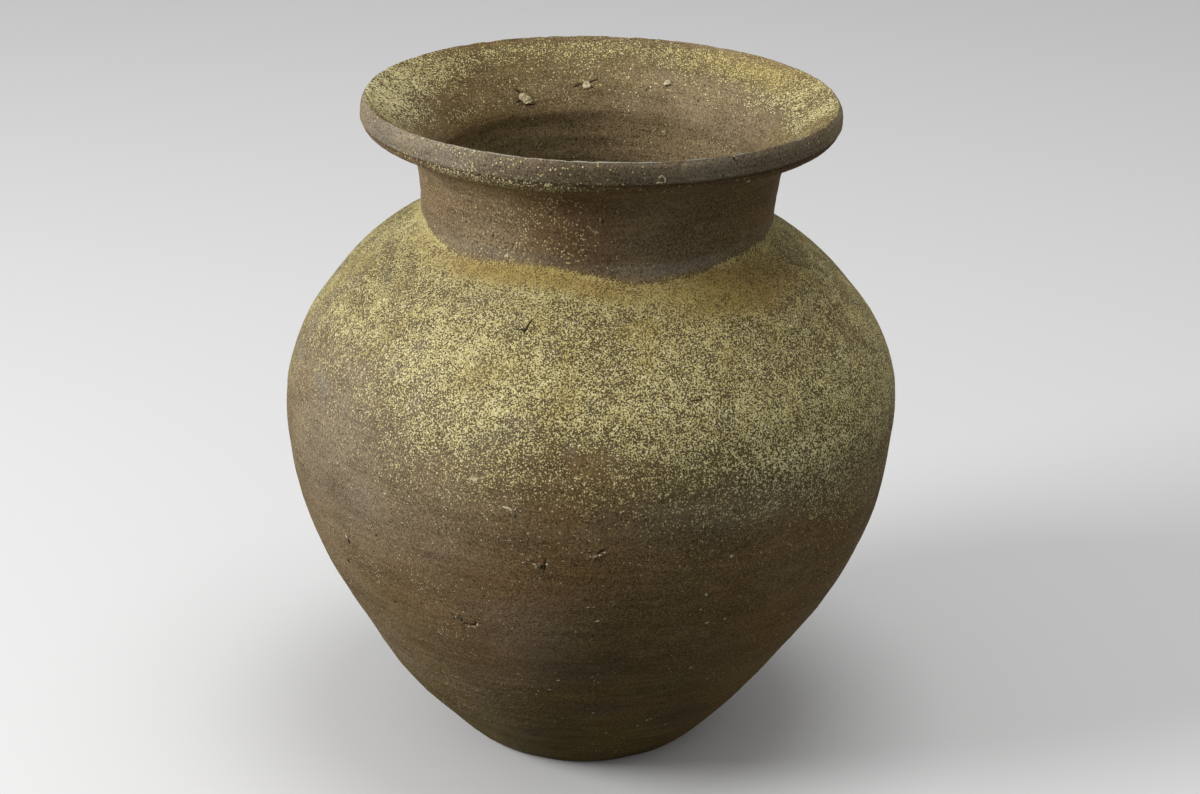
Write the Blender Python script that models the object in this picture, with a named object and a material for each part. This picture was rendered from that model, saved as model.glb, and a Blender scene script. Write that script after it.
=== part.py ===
"""A wide-mouthed stoneware jar with a swelling shoulder, a short collar and an everted rim.

The jar is built up in the potter's own sections. Each section is a turned ring whose
upper edge is bevelled, so that the next section seats on it over a thin bed of slip.
Metres, +Z up. The origin is the centre of the flat underside, and -Y is the side
that faces the viewer.
"""

import math

import bmesh
import bpy
from mathutils import Vector
from mathutils.bvhtree import BVHTree

# Heights of the outline, each measured from the one before
BELLY_HEIGHT = 0.176
SHOULDER_HEIGHT = 0.093
COLLAR_HEIGHT = 0.023
RIM_HEIGHT = 0.038

# Radii of the outline
FOOT_RADIUS = 0.0570
BELLY_RADIUS = 0.1510
NECK_RADIUS = 0.0858
COLLAR_FLARE = 0.0016
RIM_OVERHANG = 0.0297

# Walls and floor
WALL_AT_FOOT = 0.0110
WALL_AT_BELLY = 0.0085
FLOOR_THICKNESS = 0.0140

# The rolled band of the rim, its lip and the flare of the mouth
BAND_HEIGHT = 0.0150
BAND_ROUNDING = 0.0034
BAND_FULLNESS = 2.4
BAND_UNDERCUT = 0.0015
LIP_THICKNESS = 0.0024
LIP_FALL = 0.0008
THROAT_RISE = 0.0120
LIP_RUN = 0.0130
LIP_DESCENT = 0.0080

# Where the potter's sections meet, on the outside
SLAB_JOINT_HEIGHT = 0.0100
FOOT_JOINT_HEIGHT = 0.0480
LOWER_JOINT_HEIGHT = 0.0930
BELLY_JOINT_HEIGHT = 0.1380
SHOULDER_JOINT_RISE = 0.0240
JOINT_BEVEL = 0.0050
SLIP_GAP = 0.0004

# How the jar leaned and sagged in the kiln: the mouth moved right, and its right side sank
MOUTH_LEAN = 0.0085
NECK_DROP = 0.0068
BAND_DROP = 0.0034
RIM_DROP = 0.0046

# Kiln crumbs that fell into the mouth, and stones that burst through the wall
CRUMB_WIDTH = 0.0062
CRUMB_THICKNESS = 0.0030
CRUMB_GAP = 0.0004
STONE_WIDTH = 0.0062
STONE_DEPTH = 0.0022
STONE_STAND = 0.0007
STONE_CLEARANCE = 0.0003

# How uneven a crumb or a stone is
LUMP_SWELL_SHARE = 0.12
LUMP_DENT_SHARE = 0.08

# Facets round the jar, and steps along each stretch of its outline
TURNS = 64
SLAB_STEPS = 3
FOOT_STEPS = 4
LOWER_STEPS = 4
BELLY_STEPS = 4
UPPER_STEPS = 5
SHOULDER_STEPS = 9
COLLAR_STEPS = 4
FLARE_STEPS = 5
BAND_STEPS = 6
MOUTH_STEPS = 8
LUMP_SUBDIVISION_COUNT = 2
SHARP_ANGLE = math.radians(35)
WELD = 0.000001

JAR_HEIGHT = BELLY_HEIGHT + SHOULDER_HEIGHT + COLLAR_HEIGHT + RIM_HEIGHT
NECK_FOOT_HEIGHT = BELLY_HEIGHT + SHOULDER_HEIGHT
COLLAR_TOP_HEIGHT = NECK_FOOT_HEIGHT + COLLAR_HEIGHT
SHOULDER_JOINT_HEIGHT = BELLY_HEIGHT + SHOULDER_JOINT_RISE
BAND_FOOT_HEIGHT = JAR_HEIGHT - BAND_HEIGHT
COLLAR_TOP_RADIUS = NECK_RADIUS + COLLAR_FLARE
RIM_RADIUS = NECK_RADIUS + RIM_OVERHANG
LIP_RADIUS = RIM_RADIUS - BAND_ROUNDING
BAND_FOOT_RADIUS = LIP_RADIUS - BAND_UNDERCUT
THROAT_RADIUS = NECK_RADIUS - WALL_AT_BELLY

# How far up from foot to belly, and how much of the swelling is reached there
LOWER_BODY_SHARES = (
    (0.025, 0.060),
    (0.060, 0.128),
    (0.120, 0.232),
    (0.190, 0.345),
    (0.280, 0.470),
    (0.380, 0.592),
    (0.570, 0.802),
    (0.760, 0.935),
    (0.880, 0.980),
)

# How far up from belly to neck, and how much of the swelling is left there
SHOULDER_SHARES = (
    (0.12, 0.990),
    (0.25, 0.945),
    (0.42, 0.845),
    (0.60, 0.665),
    (0.75, 0.480),
    (0.87, 0.280),
    (0.94, 0.130),
    (1.00, 0.015),
)

# How far up from the collar to the foot of the band, and how far out
FLARE_SHARES = (
    (0.38, 0.09),
    (0.66, 0.27),
    (0.87, 0.60),
)

# How much of the lean is reached at a share of the jar's height
LEAN_SHARES = (
    (0.00, 0.00),
    (0.12, 0.05),
    (0.25, 0.27),
    (0.42, 0.32),
    (0.60, 0.47),
    (1.00, 1.00),
)

# The piece that carries it, then its place round as a share of a turn from +X, its height
# as a share of that piece's rise, and its size
CRUMB_SHARES = (
    ("kiln_crumb_left", 0.328, 0.40, 1.00),
    ("kiln_crumb_middle", 0.264, 0.50, 0.75),
    ("kiln_crumb_right", 0.187, 0.56, 0.55),
)
STONE_SHARES = (
    ("grit_stone_left", "belly_wall", 0.677, 0.43, 1.00),
    ("grit_stone_upper", "upper_wall", 0.712, 0.63, 0.80),
    ("grit_stone_middle", "upper_wall", 0.727, 0.19, 0.70),
    ("grit_stone_right", "upper_wall", 0.753, 0.31, 0.90),
)


def clear_scene():
    for item in list(bpy.data.objects):
        bpy.data.objects.remove(item, do_unlink=True)


def fired_clay(name, colour, roughness):
    """The Principled material of one piece."""
    material = bpy.data.materials.new(name)
    material.use_nodes = True
    shader = material.node_tree.nodes["Principled BSDF"]
    shader.inputs["Base Color"].default_value = (*colour, 1.0)
    shader.inputs["Roughness"].default_value = roughness
    shader.inputs["Metallic"].default_value = 0.0
    return material


def tangents(knots):
    """Slopes at the knots of a curve that never swings past them."""
    runs = [b[0] - a[0] for a, b in zip(knots, knots[1:])]
    chords = [(b[1] - a[1]) / run for a, b, run in zip(knots, knots[1:], runs)]
    slopes = [chords[0]]
    for before, after in zip(chords, chords[1:]):
        turning = before * after <= 0
        slopes.append(0.0 if turning else 2 * before * after / (before + after))
    slopes.append(chords[-1])
    return slopes


def curve_through(knots):
    """A smooth curve as a function, from knots of (place, value)."""
    slopes = tangents(knots)

    def value(place):
        index = 0
        while index < len(knots) - 2 and place > knots[index + 1][0]:
            index += 1
        (start, low), (end, high) = knots[index], knots[index + 1]
        run = end - start
        t = (place - start) / run
        return (
            low * (1 + 2 * t) * (1 - t) ** 2
            + high * t * t * (3 - 2 * t)
            + slopes[index] * run * t * (1 - t) ** 2
            - slopes[index + 1] * run * t * t * (1 - t)
        )

    return value


def between(low, high, share):
    return low + (high - low) * share


def body_knots():
    """The outline of body, collar and the underside of the flare, as (height, radius)."""
    knots = [(0.0, FOOT_RADIUS)]
    for up, out in LOWER_BODY_SHARES:
        knots.append((BELLY_HEIGHT * up, between(FOOT_RADIUS, BELLY_RADIUS, out)))
    knots.append((BELLY_HEIGHT, BELLY_RADIUS))
    for up, left in SHOULDER_SHARES:
        height = BELLY_HEIGHT + SHOULDER_HEIGHT * up
        knots.append((height, between(NECK_RADIUS, BELLY_RADIUS, left)))
    knots.append((NECK_FOOT_HEIGHT + JOINT_BEVEL, NECK_RADIUS))
    knots.append((COLLAR_TOP_HEIGHT, COLLAR_TOP_RADIUS))
    for up, out in FLARE_SHARES:
        height = between(COLLAR_TOP_HEIGHT, BAND_FOOT_HEIGHT, up)
        knots.append((height, between(COLLAR_TOP_RADIUS, BAND_FOOT_RADIUS, out)))
    knots.append((BAND_FOOT_HEIGHT, BAND_FOOT_RADIUS))
    return knots


outer_radius = curve_through(body_knots())
wall_at = curve_through(
    [(0.0, WALL_AT_FOOT), (BELLY_HEIGHT, WALL_AT_BELLY), (JAR_HEIGHT, WALL_AT_BELLY)]
)
lean_at = curve_through(
    [(JAR_HEIGHT * up, MOUTH_LEAN * reached) for up, reached in LEAN_SHARES]
)
tilt_at = curve_through(
    [
        (0.0, 0.0),
        (BELLY_HEIGHT, 0.0),
        (NECK_FOOT_HEIGHT, NECK_DROP / (2 * NECK_RADIUS)),
        (BAND_FOOT_HEIGHT, BAND_DROP / (2 * RIM_RADIUS)),
        (JAR_HEIGHT, RIM_DROP / (2 * RIM_RADIUS)),
    ]
)


def outside(height):
    return Vector((outer_radius(height), height))


def inside(height):
    """The point of the inner face that lies square behind the outer face at this height."""
    ahead = outside(height + SLIP_GAP) - outside(height - SLIP_GAP)
    inward = Vector((-ahead.y, ahead.x)).normalized()
    return outside(height) + inward * wall_at(height)


def heights(low, high, steps):
    return [between(low, high, step / steps) for step in range(steps + 1)]


def wall_section(low, high, steps, low_bevel, high_bevel):
    """A closed outline: up the outer face, across the bevelled seat and down the inner face."""
    bottom = low + SLIP_GAP / 2
    top = high - SLIP_GAP / 2
    outer = [outside(height) for height in heights(bottom, top, steps)]
    inner = [
        inside(height)
        for height in heights(bottom + low_bevel, top + high_bevel, steps)
    ]
    return outer + inner[::-1]


def slab_section():
    """The foot: flat underneath, with the lower wall's seat all round the floor."""
    top = SLAB_JOINT_HEIGHT - SLIP_GAP / 2
    seat = inside(top)
    floor_edge = Vector((seat.x - FLOOR_THICKNESS, FLOOR_THICKNESS))
    return [
        Vector((0.0, 0.0)),
        *(outside(height) for height in heights(0.0, top, SLAB_STEPS)),
        seat,
        floor_edge,
        Vector((0.0, FLOOR_THICKNESS)),
    ]


def bezier(start, first, second, end, steps):
    points = []
    for step in range(steps + 1):
        t = step / steps
        s = 1 - t
        points.append(
            start * s**3 + first * 3 * s * s * t + second * 3 * s * t * t + end * t**3
        )
    return points


def band_face(steps):
    """The rolled outer face of the rim, from its undercut foot to the lip."""
    middle = JAR_HEIGHT - BAND_HEIGHT / 2
    points = []
    for step in range(1, steps + 1):
        t = between(-1.0, 1.0, step / steps)
        radius = RIM_RADIUS - BAND_ROUNDING * abs(t) ** BAND_FULLNESS
        radius -= BAND_UNDERCUT * min(t, 0.0) ** 2
        points.append(Vector((radius, middle + t * BAND_HEIGHT / 2)))
    return points


def rim_section():
    """The everted rim: undercut flare, rolled band, worn lip and trumpet-shaped mouth."""
    seat = COLLAR_TOP_HEIGHT + SLIP_GAP / 2
    under = [outside(height) for height in heights(seat, BAND_FOOT_HEIGHT, FLARE_STEPS)]
    lip_inner = Vector((LIP_RADIUS - LIP_THICKNESS, JAR_HEIGHT - LIP_FALL))
    throat = Vector((THROAT_RADIUS, seat + JOINT_BEVEL))
    mouth = bezier(
        lip_inner,
        lip_inner - Vector((LIP_RUN, LIP_DESCENT)),
        throat + Vector((0.0, THROAT_RISE)),
        throat,
        MOUTH_STEPS,
    )
    return under + band_face(BAND_STEPS) + mouth


def collar_section():
    """The upright collar, its inner face straight between the shoulder and the throat."""
    bottom = NECK_FOOT_HEIGHT + SLIP_GAP / 2
    top = COLLAR_TOP_HEIGHT - SLIP_GAP / 2
    outer = [outside(height) for height in heights(bottom, top, COLLAR_STEPS)]
    throat = Vector((THROAT_RADIUS, top + JOINT_BEVEL))
    foot = inside(bottom + JOINT_BEVEL)
    inner = [throat.lerp(foot, step / COLLAR_STEPS) for step in range(COLLAR_STEPS + 1)]
    return outer + inner


def settled(point):
    """Where a point of the true turned form ended up after the jar leaned and sagged."""
    across = point.x + lean_at(point.z)
    return Vector((across, point.y, point.z - point.x * tilt_at(point.z)))


def turned_piece(name, outline, material, parent):
    """Spins an outline about the axis, lets it settle, and sets its origin at its foot."""
    form = bmesh.new()
    corners = [form.verts.new((point.x, 0.0, point.y)) for point in outline]
    rows = list(zip(corners, corners[1:]))
    if outline[0].x > 0:
        rows.append((corners[-1], corners[0]))
    edges = [form.edges.new(row) for row in rows]
    bmesh.ops.spin(
        form,
        geom=corners + edges,
        cent=(0, 0, 0),
        axis=(0, 0, 1),
        angle=math.tau,
        steps=TURNS,
        use_merge=True,
    )
    bmesh.ops.remove_doubles(form, verts=form.verts, dist=WELD)
    bmesh.ops.recalc_face_normals(form, faces=form.faces)
    origin = settled(Vector((0.0, 0.0, outline[0].y)))
    for vertex in form.verts:
        vertex.co = settled(vertex.co) - origin
    return finished(name, form, material, parent, origin)


def finished(name, form, material, parent, origin):
    mesh = bpy.data.meshes.new(name)
    form.to_mesh(mesh)
    form.free()
    mesh.shade_smooth()
    mesh.set_sharp_from_angle(angle=SHARP_ANGLE)
    mesh.materials.append(material)
    piece = bpy.data.objects.new(name, mesh)
    piece.location = origin
    piece.parent = parent
    bpy.context.collection.objects.link(piece)
    return piece


def surface_of(piece):
    """The faces of a placed piece, to find where a small piece seats on it."""
    corners = [piece.location + vertex.co for vertex in piece.data.vertices]
    faces = [tuple(face.vertices) for face in piece.data.polygons]
    return BVHTree.FromPolygons(corners, faces)


def seat_on(piece, turn_share, height, from_inside):
    """The point and the outward normal of a wall at a turn and a height."""
    angle = math.tau * turn_share
    outward = Vector((math.cos(angle), math.sin(angle), 0.0))
    centre = settled(Vector((0.0, 0.0, height)))
    if from_inside:
        place, normal, _, _ = surface_of(piece).ray_cast(centre, outward)
        return place, normal
    start = centre + outward * 2 * BELLY_RADIUS
    place, normal, _, _ = surface_of(piece).ray_cast(start, -outward)
    return place, normal


def lump(name, width, depth, crown, material, parent):
    """A rough pebble form: crown high above its widest line and depth deep below it."""
    form = bmesh.new()
    bmesh.ops.create_icosphere(form, subdivisions=LUMP_SUBDIVISION_COUNT, radius=1.0)
    for vertex in form.verts:
        x, y, z = vertex.co
        swell = 1 + LUMP_SWELL_SHARE * math.sin(3 * x + 2 * y)
        swell -= LUMP_DENT_SHARE * math.cos(4 * y - z)
        height = crown if z > 0 else depth
        vertex.co = (x * swell * width / 2, y * swell * width / 2, z * height)
    return finished(name, form, material, parent, Vector((0.0, 0.0, 0.0)))


def lay(piece, place, normal):
    piece.location = place
    piece.rotation_euler = normal.to_track_quat("Z", "Y").to_euler()


def add_crumb(rim, name, turn, up, size, material, parent):
    """A crumb of kiln clay: a flat-bottomed lump that lies on the flare of the mouth."""
    height = COLLAR_TOP_HEIGHT + RIM_HEIGHT * up
    place, normal = seat_on(rim, turn, height, True)
    width = CRUMB_WIDTH * size
    crumb = lump(name, width, 0.0, CRUMB_THICKNESS * size, material, parent)
    lay(crumb, place + normal * CRUMB_GAP, normal)


def add_stone(wall, name, turn, height, size, material, parent):
    """A stone of the clay body, sitting in the pocket that it burst open in the wall."""
    place, normal = seat_on(wall, turn, height, False)
    width = STONE_WIDTH * size
    stone = lump(name, width, STONE_DEPTH, STONE_STAND, material, parent)
    lay(stone, place, normal)
    gap = STONE_CLEARANCE
    deep = STONE_DEPTH + gap
    cutter = lump(name + "_pocket", width + 2 * gap, deep, deep, material, parent)
    lay(cutter, place, normal)
    cutter.hide_render = True
    cutter.display_type = "WIRE"
    pocket = wall.modifiers.new(cutter.name, "BOOLEAN")
    pocket.operation = "DIFFERENCE"
    pocket.solver = "EXACT"
    pocket.object = cutter


def wall_rings():
    """The rings of the wall from the foot up: name, top joint, steps, colour and roughness."""
    return (
        ("foot_wall", FOOT_JOINT_HEIGHT, FOOT_STEPS, (0.16, 0.13, 0.09), 0.80),
        ("lower_wall", LOWER_JOINT_HEIGHT, LOWER_STEPS, (0.19, 0.15, 0.12), 0.78),
        ("belly_wall", BELLY_JOINT_HEIGHT, BELLY_STEPS, (0.24, 0.19, 0.16), 0.78),
        ("upper_wall", SHOULDER_JOINT_HEIGHT, UPPER_STEPS, (0.28, 0.23, 0.17), 0.75),
        ("shoulder_wall", NECK_FOOT_HEIGHT, SHOULDER_STEPS, (0.36, 0.33, 0.19), 0.70),
    )


def build_jar():
    jar = bpy.data.objects.new("stoneware_jar", None)
    bpy.context.collection.objects.link(jar)
    pale_grit = fired_clay("pale_grit", (0.55, 0.50, 0.38), 0.85)
    foot_clay = fired_clay("olive_brown_foot", (0.16, 0.13, 0.09), 0.80)
    turned_piece("base_slab", slab_section(), foot_clay, jar)
    walls = {}
    low = SLAB_JOINT_HEIGHT
    seat = 0.0
    for name, high, steps, colour, roughness in wall_rings():
        clay = fired_clay(name + "_clay", colour, roughness)
        section = wall_section(low, high, steps, seat, JOINT_BEVEL)
        walls[name] = (turned_piece(name, section, clay, jar), low, high)
        low = high
        seat = JOINT_BEVEL
    collar_clay = fired_clay("purplish_brown_clay", (0.20, 0.14, 0.12), 0.75)
    turned_piece("neck_collar", collar_section(), collar_clay, jar)
    rim_clay = fired_clay("grey_brown_ash", (0.30, 0.26, 0.19), 0.72)
    rim = turned_piece("everted_rim", rim_section(), rim_clay, jar)
    for name, turn, up, size in CRUMB_SHARES:
        add_crumb(rim, name, turn, up, size, pale_grit, jar)
    for name, carrier, turn, up, size in STONE_SHARES:
        wall, low, high = walls[carrier]
        add_stone(wall, name, turn, between(low, high, up), size, pale_grit, jar)


clear_scene()
build_jar()
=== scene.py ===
"""The looks of a wide-mouthed stoneware jar: its thrown clay, kiln ash, scars and grit.

One skin runs from the underside up the outside, over the lip and down to the floor. Each
ring of the jar takes its own rows of that skin and closes them with its bevelled seats,
so that neighbours meet with no step. Metres, in the frame of the solids: +Z up, and -Y is
the side that faces the viewer. A turn is a share of a full turn from +X, seen from above.
"""

import math
from types import SimpleNamespace

import bmesh
import bpy
import numpy as np
from mathutils import Matrix, Vector


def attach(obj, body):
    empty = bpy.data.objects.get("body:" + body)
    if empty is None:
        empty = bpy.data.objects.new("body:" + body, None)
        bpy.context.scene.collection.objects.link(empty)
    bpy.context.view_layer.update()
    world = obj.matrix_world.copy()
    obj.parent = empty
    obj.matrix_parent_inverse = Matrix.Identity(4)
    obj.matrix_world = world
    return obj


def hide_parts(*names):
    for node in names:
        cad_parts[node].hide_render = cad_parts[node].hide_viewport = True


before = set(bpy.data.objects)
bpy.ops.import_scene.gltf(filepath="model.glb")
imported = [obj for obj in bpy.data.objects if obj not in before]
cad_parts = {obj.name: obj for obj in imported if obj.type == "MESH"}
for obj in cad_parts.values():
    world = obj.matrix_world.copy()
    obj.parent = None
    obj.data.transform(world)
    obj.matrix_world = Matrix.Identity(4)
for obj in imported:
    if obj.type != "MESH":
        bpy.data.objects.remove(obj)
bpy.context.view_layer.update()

MM = 0.001

# The outline, in the sizes of the solids
BELLY_HEIGHT = 0.176
NECK_FOOT_HEIGHT = 0.269
COLLAR_TOP_HEIGHT = 0.292
BAND_FOOT_HEIGHT = 0.315
JAR_HEIGHT = 0.330
FOOT_RADIUS = 0.0582
BELLY_RADIUS = 0.1510
NECK_RADIUS = 0.0858
COLLAR_TOP_RADIUS = 0.0874
RIM_RADIUS = 0.1155
FOOT_THICKNESS = 0.0110
BELLY_THICKNESS = 0.0085
FLOOR_THICKNESS = 0.0140
BAND_ROUNDING = 0.0034
BAND_UNDERCUT = 0.0015
LIP_THICKNESS = 0.0024
LIP_FALL = 0.0008
LIP_RUN = 0.0130
LIP_DESCENT = 0.0080
THROAT_RISE = 0.0120
JOINT_BEVEL = 0.0050
MOUTH_LEAN = 0.0085
NECK_DROP = 0.0068
BAND_DROP = 0.0034
RIM_DROP = 0.0046
FRONT_LIFT = 0.0020
LIP_SINK = 0.00055
LIP_RADIUS = RIM_RADIUS - BAND_ROUNDING
BAND_FOOT_RADIUS = LIP_RADIUS - BAND_UNDERCUT
THROAT_RADIUS = NECK_RADIUS - BELLY_THICKNESS
FOOT_ROUND = 0.0012

# The rings from the foot up: node, record slot and the height where each one ends
RINGS = (
    ("base_slab", "foot_clay", 0.0100),
    ("foot_wall", "foot_clay", 0.0480),
    ("lower_wall", "lower_clay", 0.0930),
    ("belly_wall", "belly_clay", 0.1380),
    ("upper_wall", "belly_clay", 0.2000),
    ("shoulder_wall", "ash_clay", NECK_FOOT_HEIGHT),
    ("neck_collar", "collar_clay", COLLAR_TOP_HEIGHT),
    ("everted_rim", "rim_clay", JAR_HEIGHT),
)

# Knots of the outline, as shares of the height and of the swelling of each part
LOWER_BODY_SHARES = (
    (0.025, 0.060), (0.060, 0.128), (0.120, 0.232), (0.190, 0.345), (0.280, 0.470),
    (0.380, 0.592), (0.570, 0.802), (0.760, 0.935), (0.880, 0.980),
)
SHOULDER_SHARES = (
    (0.12, 0.990), (0.25, 0.945), (0.42, 0.845), (0.60, 0.665),
    (0.75, 0.480), (0.87, 0.280), (0.94, 0.130), (1.00, 0.015),
)
FLARE_SHARES = ((0.38, 0.09), (0.66, 0.27), (0.87, 0.60))
BAND_SHARES = (
    (0.00, 0.00), (0.08, 0.36), (0.22, 0.74), (0.33, 0.93),
    (0.38, 1.00), (0.62, 0.99), (0.84, 0.86), (1.00, 0.60),
)
LEAN_SHARES = ((0.00, 0.00), (0.12, 0.05), (0.25, 0.27), (0.42, 0.32), (0.60, 0.47), (1.00, 1.00))

# Fineness of the skin: columns round the jar, more of them in front, and rows along it
COLUMNS = 960
FRONT_TURNS = (0.58, 0.92)
FRONT_SOFTNESS = 0.04
FRONT_DENSITY = 1.9
OUTSIDE_STEP = 0.0010
RIM_STEP = 0.0006
INSIDE_STEP = 0.0060
FLOOR_STEP = 0.0100
PATH_SAMPLES = 400
TURN_SAMPLES = 4001


def between(low, high, share):
    return low + (high - low) * share


def ease(value, start, end):
    """0 before start, 1 after end and a smooth rise from one to the other."""
    share = np.clip((value - start) / (end - start), 0.0, 1.0)
    return share * share * (3 - 2 * share)


def band(value, low, high, soft):
    """1 between low and high, with soft edges."""
    return ease(value, low - soft, low + soft) * (1 - ease(value, high - soft, high + soft))


def hump(away, half):
    """1 where nothing is away, and smoothly less on both sides of it."""
    return np.exp(-((away / half) ** 2))


def tangents(places, values):
    """Slopes at the knots of a curve that never swings past them."""
    chords = np.diff(values) / np.diff(places)
    before, after = chords[:-1], chords[1:]
    total = before + after
    inner = np.where(before * after > 0, 2 * before * after / np.where(total == 0, 1, total), 0)
    return np.concatenate([chords[:1], inner, chords[-1:]])


def curve_through(knots):
    """A smooth curve as a function of an array, from knots of (place, value)."""
    places, values = np.array(knots, float).T
    slopes = tangents(places, values)

    def value(place):
        place = np.asarray(place, float)
        index = np.clip(np.searchsorted(places, place) - 1, 0, len(places) - 2)
        run = places[index + 1] - places[index]
        t = (place - places[index]) / run
        return (
            values[index] * (1 + 2 * t) * (1 - t) ** 2
            + values[index + 1] * t * t * (3 - 2 * t)
            + slopes[index] * run * t * (1 - t) ** 2
            - slopes[index + 1] * run * t * t * (1 - t)
        )

    return value


def curve_round(knots):
    """A smooth curve round the jar, from knots of (turn, value); it closes on itself."""
    before = [(turn - 1, value) for turn, value in knots[-2:]]
    after = [(turn + 1, value) for turn, value in knots[:2]]
    return curve_through(before + list(knots) + after)


def body_knots():
    knots = [(0.0, FOOT_RADIUS)]
    for up, out in LOWER_BODY_SHARES:
        knots.append((BELLY_HEIGHT * up, between(FOOT_RADIUS, BELLY_RADIUS, out)))
    knots.append((BELLY_HEIGHT, BELLY_RADIUS))
    for up, left in SHOULDER_SHARES:
        height = between(BELLY_HEIGHT, NECK_FOOT_HEIGHT, up)
        knots.append((height, between(NECK_RADIUS, BELLY_RADIUS, left)))
    knots.append((NECK_FOOT_HEIGHT + JOINT_BEVEL, NECK_RADIUS))
    knots.append((COLLAR_TOP_HEIGHT, COLLAR_TOP_RADIUS))
    for up, out in FLARE_SHARES:
        height = between(COLLAR_TOP_HEIGHT, BAND_FOOT_HEIGHT, up)
        knots.append((height, between(COLLAR_TOP_RADIUS, BAND_FOOT_RADIUS, out)))
    knots.append((BAND_FOOT_HEIGHT, BAND_FOOT_RADIUS))
    return knots


outer_radius = curve_through(body_knots())
wall_at = curve_through(
    [(0.0, FOOT_THICKNESS), (BELLY_HEIGHT, BELLY_THICKNESS), (JAR_HEIGHT, BELLY_THICKNESS)]
)
lean_at = curve_through([(JAR_HEIGHT * up, MOUTH_LEAN * out) for up, out in LEAN_SHARES])
tilt_at = curve_through(
    [
        (0.0, 0.0),
        (BELLY_HEIGHT, 0.0),
        (NECK_FOOT_HEIGHT, NECK_DROP / (2 * NECK_RADIUS)),
        (BAND_FOOT_HEIGHT, BAND_DROP / (2 * RIM_RADIUS)),
        (JAR_HEIGHT, RIM_DROP / (2 * RIM_RADIUS)),
    ]
)


def outside(height):
    return np.stack([outer_radius(height), height], -1)


def inside(height):
    """Where the inner face lies square behind the outer face at each height."""
    near = 0.4 * MM
    ahead = outside(height + near) - outside(height - near)
    inward = np.stack([-ahead[..., 1], ahead[..., 0]], -1)
    inward /= np.linalg.norm(inward, axis=-1, keepdims=True)
    return outside(height) + inward * wall_at(height)[..., None]


def bezier(start, first, second, end):
    corners = [np.array(corner) for corner in (start, first, second, end)]

    def point(t):
        t = np.asarray(t, float)[..., None]
        s = 1 - t
        weights = (s**3, 3 * s * s * t, 3 * s * t * t, t**3)
        return sum(corner * weight for corner, weight in zip(corners, weights))

    return point


def evenly(path, start, end, spacing):
    """Points on a path about one spacing apart, with both of its ends."""
    fine = np.linspace(start, end, PATH_SAMPLES)
    runs = np.linalg.norm(np.diff(path(fine), axis=0), axis=1)
    length = np.concatenate([[0.0], np.cumsum(runs)])
    count = max(2, round(length[-1] / spacing) + 1)
    return path(np.interp(np.linspace(0.0, length[-1], count), length, fine))


def band_knots():
    knots = []
    for up, out in BAND_SHARES:
        height = between(BAND_FOOT_HEIGHT, JAR_HEIGHT, up)
        knots.append((height, between(BAND_FOOT_RADIUS, RIM_RADIUS, out)))
    return knots


band_radius = curve_through(band_knots())


def band_face(height):
    return np.stack([band_radius(height), height], -1)


def straight(start, end):
    start, end = np.array(start), np.array(end)
    return lambda t: start + (end - start) * np.asarray(t, float)[..., None]


def skin_path():
    """The whole outline, the rows where the rings meet outside and inside, and the lip's row."""
    tops = [top for _, _, top in RINGS]
    foot_corner = (FOOT_RADIUS, 0.0)
    foot_inner = (FOOT_RADIUS - FOOT_ROUND, 0.0)
    foot_roll = bezier(foot_inner, foot_corner, foot_corner, outside(np.array(FOOT_ROUND)))
    lip_radius = band_knots()[-1][1]
    lip_outer = (lip_radius, JAR_HEIGHT)
    lip_inner = (lip_radius - LIP_THICKNESS, JAR_HEIGHT - LIP_FALL)
    lip_top = (lip_radius - LIP_THICKNESS / 2, JAR_HEIGHT)
    throat = (THROAT_RADIUS, COLLAR_TOP_HEIGHT + JOINT_BEVEL)
    under_lip = (lip_inner[0] - LIP_RUN, lip_inner[1] - LIP_DESCENT)
    mouth = bezier(lip_inner, under_lip, (THROAT_RADIUS, throat[1] + THROAT_RISE), throat)
    inner_tops = [height + JOINT_BEVEL for height in tops[1:-2]][::-1]
    collar = straight(throat, inside(np.array(inner_tops[0])))
    seat = inside(np.array(tops[0]))
    floor_edge = (seat[0] - FLOOR_THICKNESS, FLOOR_THICKNESS)
    stretches = [
        evenly(straight((0.0, 0.0), foot_inner), 0.0, 1.0, FLOOR_STEP),
        evenly(foot_roll, 0.0, 1.0, RIM_STEP),
        evenly(outside, FOOT_ROUND, tops[0], OUTSIDE_STEP),
        *(evenly(outside, low, high, OUTSIDE_STEP) for low, high in zip(tops, tops[1:-1])),
        evenly(outside, COLLAR_TOP_HEIGHT, BAND_FOOT_HEIGHT, OUTSIDE_STEP),
        evenly(band_face, BAND_FOOT_HEIGHT, JAR_HEIGHT, RIM_STEP),
        evenly(bezier(lip_outer, lip_top, lip_top, lip_inner), 0.0, 1.0, RIM_STEP),
        evenly(mouth, 0.0, 1.0, RIM_STEP),
        evenly(collar, 0.0, 1.0, OUTSIDE_STEP),
        *(
            evenly(inside, high, low, INSIDE_STEP)
            for high, low in zip(inner_tops, inner_tops[1:] + [tops[0]])
        ),
        evenly(straight(seat, floor_edge), 0.0, 1.0, INSIDE_STEP),
        evenly(straight(floor_edge, (0.0, FLOOR_THICKNESS)), 0.0, 1.0, FLOOR_STEP),
    ]
    path = np.concatenate([stretches[0]] + [stretch[1:] for stretch in stretches[1:]])
    # The foot has two stretches, and four lie between the outer joints and the inner ones
    ends = np.cumsum([len(stretch) - 1 for stretch in stretches])[2:]
    joints = len(RINGS) - 1
    return path, ends[:joints], ends[joints + 3 : 2 * joints + 3], ends[joints + 1]


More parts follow.
